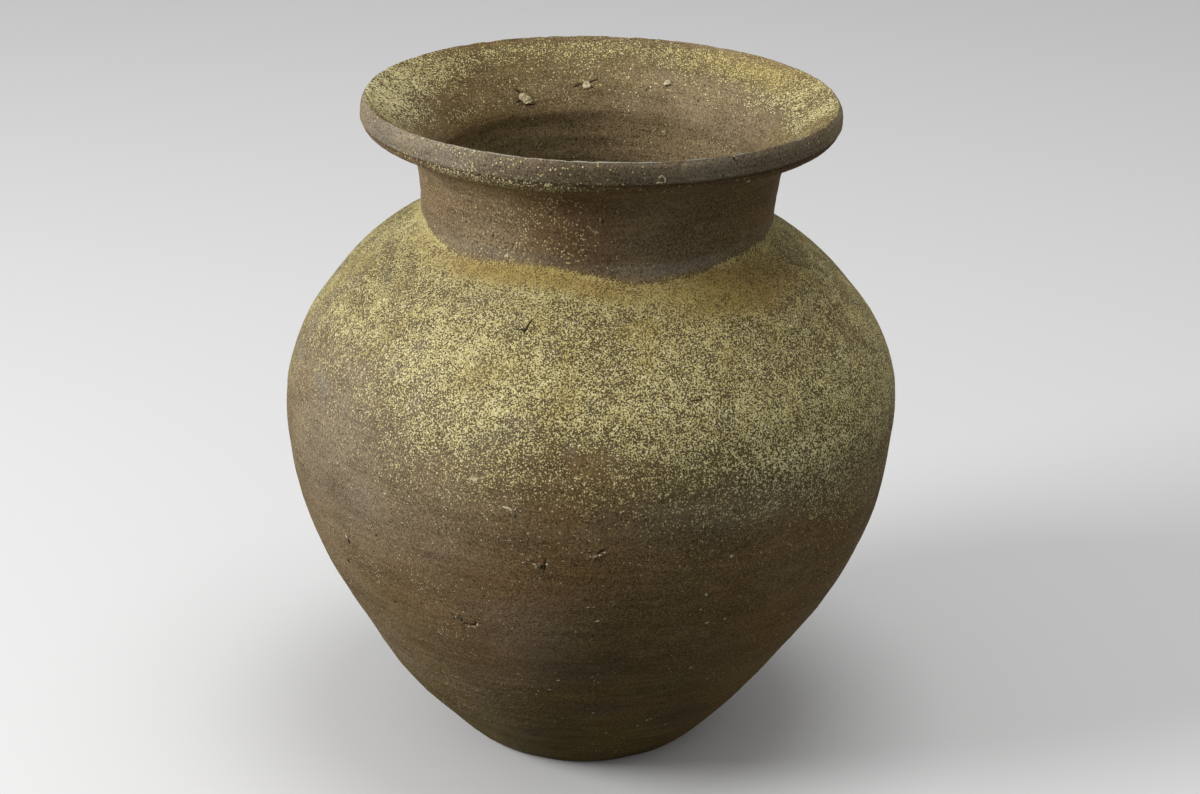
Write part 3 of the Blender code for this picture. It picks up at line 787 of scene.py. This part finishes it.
def clay_tones():
    """The slow changes of colour that the flame left, with painted light and shade among them, each
    one a layer.
    """
    height, level = skin.place[..., 2] / MM, skin.level
    out = skin.is_outside
    inner = 1 - out
    neck = curve_round(NECK_LINE)(skin.turns)
    patchy = lumps(18, 42)
    streaky = lumps((70, 70, 10), 45)
    banded = lumps((60, 60, 6), 47) + 0.6 * lumps(24, 48)
    low_down = out * (1 - ease(height, 70, 150))
    on_face = out * ease(level, 320.0, 321.5)
    under_face = out * band(level, 315.2, 319.8, 0.4)

    # Paler clay on the side that faces the key light: partly the clay's own tone, partly painted
    # light
    lit_side = band(skin.turns, 0.49, 0.702, 0.040) + 0.45 * facing(0.060, 0.10)
    pale = lit_side * out * (0.88 + 0.25 * patchy + 0.2 * streaky) + patches("pale")
    # Painted light inside the throat, where the lamps leave it in shade
    pale += inner * (0.22 + 0.44 * facing(0.11, 0.12)) * ease(height, 235, 265)
    paint("pale", pale + 0.75 * inner * (1 - ease(height, 285, 302)))

    red = 0.10 * out * band(height, 272, 316, 3) + 0.45 * under_face + patches("red")
    red += 0.08 * inner * facing(0.08, 0.09) * band(height, 285, 306, 4)
    red += out * facing(0.700, 0.05) * band(height, 70, 190, 25) * (0.35 + 0.4 * streaky)
    paint("red", red + 0.15 * patchy)

    # Blue-grey bloom of the flame, and a painted sheen: the pale strip along the foot of the neck
    bloom = out * band(height, neck + 0.5, neck + 6, 3.0)
    bloom *= 0.20 + 0.50 * facing(0.655, 0.05) + 0.75 * facing(0.820, 0.06)
    bloom += on_face * (0.50 + 0.50 * facing(0.595, 0.09) + 0.30 * facing(0.84, 0.07))
    greyed = np.maximum(lumps(9, 25) - 0.10, 0) * band(height, 205, 266, 8)
    bloom += 1.2 * greyed * out * (1 - 0.8 * facing(0.900, 0.090))
    bloom += 0.25 * inner * ease(height, 290, 300) * facing(0.13, 0.14)
    paint("bloom", (bloom + patches("bloom")) * (1 + 0.25 * patchy))

    # Olive tone, darker towards the foot
    olive = 0.75 * out * (1 - ease(height, 20, 95)) + 0.50 * banded * low_down
    olive += 0.60 * out * facing(0.525, 0.045) * (1 - ease(height, 80, 150))
    olive += 0.30 * out * np.maximum(lumps(50, 41), 0) * (1 - ease(height, 110, 170))
    olive += inner * (0.25 + 0.30 * facing(0.36, 0.12)) * (1 - ease(height, 290, 315))
    less = facing(0.10, 0.08) + 0.6 * facing(0.48, 0.08)
    olive += 0.35 * inner * ease(height, 300, 318) * (1 - less)
    olive *= 1 - 0.75 * out * facing(0.885, 0.055)
    paint("olive", olive + 0.12 * patchy)

    ember = 0.65 * facing(0.885, 0.045) * (1 - ease(height, 95, 140)) + patches("ember")
    ember += 0.25 * facing(0.525, 0.045) * (1 - ease(height, 85, 135))
    ember *= out * (0.9 + 0.6 * patchy + 0.4 * streaky)
    paint("ember", ember + 0.35 * np.maximum(lumps(30, 46), 0))

    gold = out * band(height, neck - 7, neck, 3.5) * (0.15 + 0.65 * facing(0.70, 0.075))
    gold += 0.35 * out * band(height, 215, 262, 9) * np.maximum(lumps(12, 43), 0)
    gold += 0.16 * out * ease(height, 220, 250) + patches("gold")
    gold += inner * (0.20 + 0.30 * facing(0.11, 0.08)) * ease(height, 312, 322)
    paint("gold", gold)

    # Soot and painted shade. Painted shade: under the rim band and in its crease, less on the side
    # that faces the key light; along the band's lower edge; deep in the throat; and on the lower
    # right, away from the key light. The other dark marks are the flame's own.
    shaded_side = 1 - 0.8 * band(skin.turns, 0.45, 0.68, 0.04)
    sooty = shaded_side * (0.40 * under_face + 0.75 * out * hump(level - 315.0, 0.5))
    sooty += 0.85 * out * hump(level - 319.8, 0.7)
    sooty += inner * (0.15 * (1 - ease(height, 235, 270)) + 0.10 * ease(height, 298, 312))
    in_shade = out * facing(0.79, 0.11) * (1 - ease(height, 80, 140))
    sooty += 0.30 * in_shade * (1 + 0.5 * streaky) + 0.40 * low_down * np.maximum(-banded, 0)
    sooty += on_face * (0.65 * facing(0.742, 0.06) + 0.40 * facing(0.865, 0.07))
    paint("sooty", sooty + patches("sooty"))

    # Wear along the wiped lip, and a painted highlight on it, strongest at the front
    wiped = hump(skin.from_lip, 0.5) * (0.75 + 0.30 * lumps(10, 44))
    paint("worn", wiped * (0.35 + 0.65 * facing(0.72, 0.17)))
    # Whiter, crisper ash grains at the mouth's ends and in patches; at the mouth's ends and under
    # the rim also painted light, where the lamps leave them darker
    ends = facing(0.48, 0.06) + 0.75 * facing(0.03, 0.06)
    paint("salt", inner * ends * ease(height, 306, 318) + patches("salt"))


paint("ash", kiln_ash() + mouth_ash())
clay_tones()


class Wire:
    """One output of a shader node. A sum on it adds Math nodes."""

    def __init__(self, finish, socket):
        self.finish = finish
        self.socket = socket

    def worked(self, operation, *values):
        return self.finish.node("ShaderNodeMath", {"operation": operation}, dict(enumerate(values)))

    def __add__(self, other):
        return self.worked("ADD", self, other)

    __radd__ = __add__

    def __sub__(self, other):
        return self.worked("SUBTRACT", self, other)

    def __rsub__(self, other):
        return self.worked("SUBTRACT", other, self)

    def __mul__(self, other):
        return self.worked("MULTIPLY", self, other)

    __rmul__ = __mul__

    def also(self, output):
        """Another output of the same node."""
        return Wire(self.finish, self.socket.node.outputs[output])

    def held(self):
        """Kept between 0 and 1."""
        settings = {"operation": "ADD", "use_clamp": True}
        return self.finish.node("ShaderNodeMath", settings, {0: self, 1: 0.0})

    def above(self, start, soft):
        """0 below start, rising smoothly to 1 over the soft stretch."""
        return self.finish.node(
            "ShaderNodeMapRange",
            {"interpolation_type": "SMOOTHSTEP", "clamp": True},
            {"Value": self, "From Min": start, "From Max": start + soft},
        )


DRY_GLOSS = 0.05


class Finish:
    """A material while it is made: any node comes from node(), and colours from mixed()."""

    def __init__(self, name, roughness):
        self.material = bpy.data.materials.new(name)
        self.material.use_nodes = True
        self.tree = self.material.node_tree
        self.shader = self.tree.nodes["Principled BSDF"]
        self.shader.inputs["Roughness"].default_value = roughness
        self.shader.inputs["Specular IOR Level"].default_value = DRY_GLOSS
        self.place = self.node("ShaderNodeTexCoord", {}, {}, "Object")

    def node(self, kind, settings, values, output=0):
        made = self.tree.nodes.new(kind)
        for name, value in settings.items():
            setattr(made, name, value)
        for name, value in values.items():
            self.feed(made.inputs[name], value)
        return Wire(self, made.outputs[output])

    def feed(self, socket, value):
        if isinstance(value, Wire):
            self.tree.links.new(value.socket, socket)
        elif isinstance(value, tuple) and socket.type == "RGBA":
            socket.default_value = (*value, 1.0)
        else:
            socket.default_value = value

    def layer(self, name):
        """A layer that was painted on the skin."""
        return self.node("ShaderNodeAttribute", {"attribute_name": name}, {}, "Fac")

    def grain(self, size, detail=2.0, harshness=0.55, squash=None):
        """Noise with lumps of about one size in metres, from 0 to 1."""
        place = self.place
        if squash:
            place = self.node(
                "ShaderNodeVectorMath", {"operation": "MULTIPLY"}, {0: place, 1: squash}
            )
        return self.node(
            "ShaderNodeTexNoise",
            {},
            {"Vector": place, "Scale": 0.5 / size, "Detail": detail, "Roughness": harshness},
        )

    def scattered(self, scale):
        """Scattered points: how far the nearest one is, and its own random numbers."""
        near = self.node(
            "ShaderNodeTexVoronoi", {}, {"Vector": self.place, "Scale": scale}, "Distance"
        )
        return near, self.node("ShaderNodeSeparateColor", {}, {"Color": near.also("Color")})

    def mixed(self, first, second, share):
        """One colour laid over another, or a colour from each end of a share."""
        return self.node(
            "ShaderNodeMix", {"data_type": "RGBA"}, {0: share, 6: first, 7: second}, 2
        )

    def shaded(self, colour, strength):
        """A colour made darker or lighter by a value."""
        grey = self.node(
            "ShaderNodeCombineColor", {}, {"Red": strength, "Green": strength, "Blue": strength}
        )
        return self.node(
            "ShaderNodeMix",
            {"data_type": "RGBA", "blend_type": "MULTIPLY"},
            {0: 1.0, 6: colour, 7: grey},
            2,
        )

    def finished(self, colour, roughness, height, depth):
        """Joins up the shader: its colour, its gloss and the fine relief."""
        self.feed(self.shader.inputs["Base Color"], colour)
        self.feed(self.shader.inputs["Roughness"], roughness)
        relief = self.node("ShaderNodeBump", {}, {"Distance": depth, "Height": height})
        self.feed(self.shader.inputs["Normal"], relief)
        return self.material


# Colours of clay and ash, some of them painted light and shade
# Pale clay, laid partly as painted light on the key-lit side and in the throat
PALE_CLAY = (0.282, 0.210, 0.124)
DARK_CLAY = (0.152, 0.103, 0.045)
RED_CLAY = (0.180, 0.104, 0.050)
EMBER_CLAY = (0.215, 0.128, 0.042)
# Blue-grey bloom, and painted sheen
BLUE_GREY = (0.262, 0.228, 0.172)
OLIVE_TAN = (0.140, 0.103, 0.028)
# Soot, and painted shade
DARK_SOOT_AND_SHADE = (0.052, 0.036, 0.019)
# Ground between grains of ash: partly clay, partly painted shade
ASH_SHADE = (0.106, 0.086, 0.041)
STRAW = (0.680, 0.592, 0.265)
DEEP_STRAW = (0.440, 0.365, 0.140)
# Palest grains, and painted glints on them
SALT_AND_GLINT = (0.880, 0.810, 0.480)
GOLD = (0.470, 0.335, 0.095)
RUST = (0.400, 0.235, 0.070)
SPECK = (0.920, 0.830, 0.560)
CHALK = (0.720, 0.650, 0.440)
# Wear, and painted highlight on the lip
WORN_CLAY_AND_HIGHLIGHT = (0.400, 0.410, 0.370)
# Painted shade in cracks and pinholes
CRACK_SHADE = (0.022, 0.017, 0.012)
# Painted shade in the hollows of crumbs and stones
CRUMB_HOLLOW_SHADE = (0.300, 0.235, 0.125)
CRUMB_CROWN = (0.620, 0.545, 0.340)
STONE_HOLLOW_SHADE = (0.075, 0.052, 0.028)
STONE_CROWN = (0.300, 0.235, 0.140)
# Painted shade in the pits of crumbs and stones
GRIT_PIT_SHADE = (0.110, 0.085, 0.050)


# Grain by name: size in metres, detail, harshness and how it is squashed along x, y and z
GRAINS = {
    "drift": (0.014, 3.0, 0.55, (0.6, 0.6, 1.0)),
    "mottle": (0.0040, 3.0),
    "fine": (0.00050, 2.0, 0.65),
    "crisp": (0.00040, 1.0),
    "streaks": (0.0011, 4.0, 0.7, (0.07, 0.07, 1.0)),
    "warmth": (0.011, 2.0, 0.5, (0.5, 0.5, 1.0)),
    "blotches": (0.0075, 3.0, 0.6, (0.45, 0.45, 1.0)),
    "crowds": (0.012, 2.0),
    "clusters": (0.0028, 2.0),
    "speckle": (0.00037, 1.0, 0.5),
    "clumps": (0.00085, 1.0),
}
PIT_CELLS = 900.0
SPECK_CELLS = 1050.0
ASH_CELLS = 910.0
RELIEF = 0.30 * MM


def bare_clay(finish, on):
    """The clay as the flame left it, with painted light and shade on it, and painted shade in the
    ground between grains of ash.
    """
    shift = (on.drift - 0.5) * 0.5 + (on.mottle - 0.5) * 0.7 + (on.streaks - 0.5) * 0.4
    # Paler on the key-lit side and in the throat: partly painted light
    clay = finish.mixed(DARK_CLAY, PALE_CLAY, (on.pale * 0.86 + 0.07 + shift).held())
    warm = on.ember * 0.8 + on.warmth.above(0.47, 0.16) * 0.16
    clay = finish.mixed(clay, EMBER_CLAY, warm.held())
    clay = finish.mixed(clay, OLIVE_TAN, on.olive * 0.80)
    clay = finish.mixed(clay, RED_CLAY, on.red * 0.75)
    # Blue-grey bloom, with a painted sheen along the foot of the neck
    clay = finish.mixed(clay, BLUE_GREY, on.bloom * 0.70)
    # Soot, and painted shade under the rim, in its crease, deep in the throat and on the side away
    # from the key light
    clay = finish.mixed(clay, DARK_SOOT_AND_SHADE, on.sooty * 0.75)
    lively = 0.68 - on.olive * 0.36 - on.red * 0.26 - on.bloom * 0.28
    shading = on.fine.above(0.34, 0.32) * (0.56 - on.bloom * 0.12)
    shading = shading + on.crisp.above(0.36, 0.28) * lively
    shading = shading + 0.22 + on.red * 0.14 + on.bloom * 0.20
    shading = shading + on.streaks.above(0.35, 0.30) * (on.olive * 0.30 + 0.17)
    clay = finish.shaded(clay, shading + on.blotches.above(0.38, 0.24) * 0.18)
    # Darker ground where ash lies: partly the clay between the grains, partly painted shade between
    # them, less on the key-lit side
    shade = on.salt * 0.12 + 0.72 - on.pale * 0.22
    return finish.mixed(clay, ASH_SHADE, on.ash.above(0.15, 0.35) * shade)


def pits_and_specks(finish, on, clay):
    """Pinholes filled with painted shade, and pale grit: the clay with them, and where each of them
    is.
    """
    near, chance = finish.scattered(PIT_CELLS)
    pits = 1 - (near + (on.crisp - 0.5) * 0.5).above(0.22, 0.08)
    pits = pits * (0.16 - chance).above(0.0, 0.02)
    # Painted shade in the pinholes
    clay = finish.mixed(clay, CRACK_SHADE, pits * 0.75)
    near, chance = finish.scattered(SPECK_CELLS)
    uneven = chance.also("Green") * 0.22 + (on.crisp - 0.5) * 0.8
    specks = 1 - (near + uneven).above(0.37, 0.06)
    crowded = on.crowds.above(0.50, 0.12) * 0.85 + 0.15
    specks = specks * ((on.pale * 0.13 + 0.05) * crowded - chance).above(0.0, 0.02)
    return finish.mixed(clay, SPECK, specks * 0.90), pits, specks


def ash_grains(finish, on):
    """Grains of ash: where they lie, and their colour, with painted glints on them."""
    near, chance = finish.scattered(ASH_CELLS)
    disc = 1 - (near + (on.crisp - 0.5) * 1.1).above(0.34, 0.07)
    spread = (on.ash - 0.08).held() * 1.3 + on.sprinkle
    loose = disc * (spread - chance).above(0.0, 0.02)
    cover = (on.ash - 0.5) * 0.50 + (on.clusters - 0.5) * 0.26
    cover = cover + (on.clumps - 0.52) * on.salt * 0.9 - on.gold * 0.035
    grains = ((on.speckle + cover).above(0.512, 0.014) + loose).held()
    tone = chance.also("Blue")
    hue = finish.mixed(STRAW, DEEP_STRAW, tone.above(0.50, 0.40))
    # Painted glints: spots of the palest colour within the grains. Painted light also makes grains
    # paler on the key-lit side, at the mouth's ends and under the rim; sprinkled grains and some at
    # random are pale of their own.
    bright = (on.crisp + on.salt * 0.06).above(0.53, 0.08) * 0.65 + on.salt * 0.4
    bright = bright + 1 - tone.above(0.04, 0.06) + on.sprinkle * 0.8 + on.pale * 0.12
    hue = finish.mixed(hue, SALT_AND_GLINT, (bright * (1 - on.gold)).held())
    hue = finish.mixed(hue, GOLD, on.gold * (0.88 - on.crisp.above(0.50, 0.12) * 0.50))
    return grains, hue


def fired_clay():
    """Bare clay under grains of ash: every ring of the jar wears it."""
    finish = Finish("wood_fired_clay", 0.8)
    layers = {name: finish.layer(name) for name in skin.layers}
    on = SimpleNamespace(**layers, **{name: finish.grain(*row) for name, row in GRAINS.items()})
    clay, pits, specks = pits_and_specks(finish, on, bare_clay(finish, on))
    grains, hue = ash_grains(finish, on)
    colour = finish.mixed(clay, hue, grains * 0.96)
    rusty = finish.mixed(GOLD, RUST, on.drift.above(0.50, 0.14))
    crust = on.gold.above(0.15, 0.60) * on.fine.above(0.35, 0.25)
    colour = finish.mixed(colour, rusty, crust * 0.50)
    # Wear and a painted highlight along the lip
    worn = (on.worn + (on.fine - 0.5) * 0.5).above(0.36, 0.20)
    colour = finish.mixed(colour, WORN_CLAY_AND_HIGHLIGHT, worn * 0.85)
    frayed = (on.crisp - 0.5) * 0.30
    colour = finish.mixed(colour, CHALK, (on.chalk + frayed).above(0.47, 0.06) * 0.85)
    # Painted shade in the cuts and cracks
    colour = finish.mixed(colour, CRACK_SHADE, (on.scar + frayed).above(0.47, 0.06) * 0.92)
    dryness = 0.66 + grains * 0.18 + on.fine * 0.10
    relief = grains * 0.45 + on.fine * 0.65 + on.mottle * 0.5 + on.streaks * 0.4
    return finish.finished(colour, dryness, relief - pits * 0.5 + specks * 0.4, RELIEF)


def grit(name, hollow, crown):
    """A crumb or a stone: pitted and dusty, with painted shade in its hollows and pits."""
    finish = Finish(name, 0.9)
    coarse = finish.grain(0.0010, 3.0, 0.7)
    # Painted shade where the relief is low
    colour = finish.mixed(hollow, crown, coarse.above(0.36, 0.20))
    pits = finish.grain(0.0005, 2.0).above(0.60, 0.06)
    colour = finish.mixed(colour, GRIT_PIT_SHADE, pits * 0.7)
    return finish.finished(colour, 0.85 + pits * 0.1, coarse + (1 - pits) * 0.4, RELIEF)


def ring_stretches(index):
    """The rows of skin that one ring shows, as a closed loop of stretches in order."""
    outer, inner = skin.outer_rows, skin.inner_rows
    last = len(inner) - 1
    if index == 0:
        return [range(1, outer[0] + 1), range(inner[last], len(skin.row) - 1)]
    if index == len(RINGS) - 1:
        return [range(outer[-1], inner[0] + 1)]
    return [
        range(outer[index - 1], outer[index] + 1),
        range(inner[last - index], inner[last - index + 1] + 1),
    ]


def quads_between(lower, upper):
    """Faces between two rows of vertices, each given by its numbers round the jar."""
    ahead_low, ahead_up = np.roll(lower, -1), np.roll(upper, -1)
    return np.stack([lower, ahead_low, ahead_up, upper], -1)


def ring_mesh(name, stretches, closed):
    """A closed shell over some stretches of the skin, joined by its bevelled seats."""
    rows = [row for stretch in stretches for row in stretch]
    first = {row: number * COLUMNS for number, row in enumerate(rows)}
    columns = np.arange(COLUMNS)
    faces, normals = [], []

    def add_faces(low, high, low_normal, high_normal):
        faces.append(quads_between(first[low] + columns, first[high] + columns))
        ahead_low, ahead_high = np.roll(low_normal, -1, 0), np.roll(high_normal, -1, 0)
        normals.append(np.stack([low_normal, ahead_low, ahead_high, high_normal], 1))

    for stretch in stretches:
        for low, high in zip(stretch, stretch[1:]):
            add_faces(low, high, skin.normal[low], skin.normal[high])
    seats = [(a[-1], b[0]) for a, b in zip(stretches, stretches[1:])]
    if closed:
        seats.append((stretches[-1][-1], stretches[0][0]))
    for low, high in seats:
        across = np.roll(skin.place[low], -1, 0) - np.roll(skin.place[low], 1, 0)
        outward = np.cross(across, skin.place[high] - skin.place[low])
        outward /= np.linalg.norm(outward, axis=1, keepdims=True)
        add_faces(low, high, outward, outward)
    faces = np.concatenate(faces).tolist()
    normals = np.concatenate(normals).reshape(-1, 3)
    if not closed:
        ends = first[stretches[0][0]] + columns[::-1], first[stretches[-1][-1]] + columns
        faces += [end.tolist() for end in ends]
        up = np.broadcast_to((0.0, 0.0, 1.0), (COLUMNS, 3))
        normals = np.concatenate([normals, -up, up])
    mesh = bpy.data.meshes.new(name)
    mesh.from_pydata(skin.place[rows].reshape(-1, 3).tolist(), [], faces)
    mesh.shade_smooth()
    for layer, values in skin.layers.items():
        attribute = mesh.attributes.new(layer, "FLOAT", "POINT")
        attribute.data.foreach_set("value", values[rows].astype(np.float32).ravel())
    mesh.normals_split_custom_set(normals)
    return mesh


def placed(name, data):
    """A new object in the scene."""
    thing = bpy.data.objects.new(name, data)
    bpy.context.collection.objects.link(thing)
    return thing


def add_ring(index, material):
    node, slot, _ = RINGS[index]
    mesh = ring_mesh(node + "_fired", ring_stretches(index), index > 0)
    mesh.materials.append(material)
    ring = placed(mesh.name, mesh)
    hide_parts(node)
    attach(ring, "root")


CRUMB_NODES = ("kiln_crumb_left", "kiln_crumb_middle", "kiln_crumb_right")
STONE_NODES = ("grit_stone_left", "grit_stone_upper", "grit_stone_middle", "grit_stone_right")
GRIT_CUTS = 5
GRIT_SEED = 60
CRUMB_FLATNESS = 0.5


def add_grit(node, seed, material, flatness):
    """A rough lump made from the plain lump of one node, pressed flat and eaten by noise."""
    form = bmesh.new()
    form.from_mesh(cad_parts[node].data)
    bmesh.ops.remove_doubles(form, verts=form.verts, dist=0.001 * MM)
    bmesh.ops.subdivide_edges(form, edges=form.edges, cuts=GRIT_CUTS, use_grid_fill=True)
    bmesh.ops.smooth_vert(
        form, verts=form.verts, factor=0.5, use_axis_x=True, use_axis_y=True, use_axis_z=True
    )
    bmesh.ops.recalc_face_normals(form, faces=form.faces)
    form.normal_update()
    places = np.array([vert.co for vert in form.verts])
    away = np.linalg.norm(skin.place - places.mean(axis=0), axis=-1)
    nearest = np.unravel_index(np.argmin(away), away.shape)
    raised = np.maximum((places - skin.place[nearest]) @ skin.normal[nearest], 0)
    places = places - flatness * raised[:, None] * skin.normal[nearest]
    spread = 1 + flatness * (0.30 + 0.80 * noise(places, 3.0, seed + 40))
    places = places.mean(axis=0) + (places - places.mean(axis=0)) * spread[:, None]
    eaten = 0.95 * (noise(places, 2.2, seed) - 0.5) + 0.30 * noise(places, 0.9, seed + 1)
    eaten = np.minimum(eaten, 0) * MM
    outward = np.array([vert.normal for vert in form.verts])
    for vert, place in zip(form.verts, places + outward * eaten[:, None]):
        vert.co = place
    mesh = bpy.data.meshes.new(node + "_fired")
    form.to_mesh(mesh)
    form.free()
    mesh.shade_smooth()
    mesh.materials.append(material)
    lump = placed(mesh.name, mesh)
    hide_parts(node)
    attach(lump, "root")


clay = fired_clay()
for index in range(len(RINGS)):
    add_ring(index, clay)
crumb_clay = grit("pale_kiln_crumb", CRUMB_HOLLOW_SHADE, CRUMB_CROWN)
stone_clay = grit("clay_stone", STONE_HOLLOW_SHADE, STONE_CROWN)
for number, node in enumerate(CRUMB_NODES + STONE_NODES):
    is_crumb = node in CRUMB_NODES
    material = crumb_clay if is_crumb else stone_clay
    add_grit(node, GRIT_SEED + 2 * number, material, CRUMB_FLATNESS * is_crumb)


# Floor, light and view
FLOOR_SIZE = 12.0
FLOOR_SEEN = 0.80
FLOOR_GIVEN = 0.12
WORLD_LEVEL = 0.42
KEY_SIZE = 1.1
KEY_PLACE = (-1.97, -0.72, 1.35)
KEY_POWER = 42.0
TOP_SIZE = 1.2
TOP_PLACE = (0.25, -0.10, 2.05)
TOP_POWER = 12.0
LIGHT_AIM = (0.0, 0.0, 0.20)
CAMERA_PLACE = (0.00795, -1.27974, 0.69069)
CAMERA_PITCH = 68.02
CAMERA_ROLL = 0.20
CAMERA_LENS = 83.02


def add_floor():
    """A plain pale floor. What it throws back on the jar is darker than what is seen of it."""
    mesh = bpy.data.meshes.new("studio_floor")
    half = FLOOR_SIZE / 2
    corners = [(-half, -half, 0.0), (half, -half, 0.0), (half, half, 0.0), (-half, half, 0.0)]
    mesh.from_pydata(corners, [], [(0, 1, 2, 3)])
    finish = Finish("pale_studio_floor", 0.9)
    path = finish.node("ShaderNodeLightPath", {}, {}, "Is Camera Ray")
    seen = path + path.also("Is Glossy Ray") + path.also("Is Transmission Ray")
    shown = finish.mixed((FLOOR_GIVEN,) * 3, (FLOOR_SEEN,) * 3, seen)
    finish.feed(finish.shader.inputs["Base Color"], shown)
    mesh.materials.append(finish.material)
    floor = placed("studio_floor", mesh)


def add_light(name, place, size, power):
    lamp = bpy.data.lights.new(name, "AREA")
    lamp.shape = "DISK"
    lamp.size = size
    lamp.energy = power
    holder = placed(name, lamp)
    holder.location = place
    towards = Vector(LIGHT_AIM) - Vector(place)
    holder.rotation_euler = towards.to_track_quat("-Z", "Y").to_euler()


def add_world():
    world = bpy.data.worlds.new("studio_air")
    world.use_nodes = True
    world.node_tree.nodes["Background"].inputs["Color"].default_value = (1.0, 1.0, 1.0, 1.0)
    world.node_tree.nodes["Background"].inputs["Strength"].default_value = WORLD_LEVEL
    bpy.context.scene.world = world


def add_camera():
    lens = bpy.data.cameras.new("viewer")
    lens.lens = CAMERA_LENS
    camera = placed("viewer", lens)
    pitch = Matrix.Rotation(math.radians(CAMERA_PITCH), 4, "X")
    roll = Matrix.Rotation(math.radians(CAMERA_ROLL), 4, "Z")
    camera.matrix_world = Matrix.Translation(CAMERA_PLACE) @ pitch @ roll
    bpy.context.scene.camera = camera


add_floor()
add_light("studio_key", KEY_PLACE, KEY_SIZE, KEY_POWER)
add_light("studio_top", TOP_PLACE, TOP_SIZE, TOP_POWER)
add_world()
add_camera()
bpy.context.scene.view_settings.view_transform = "Standard"
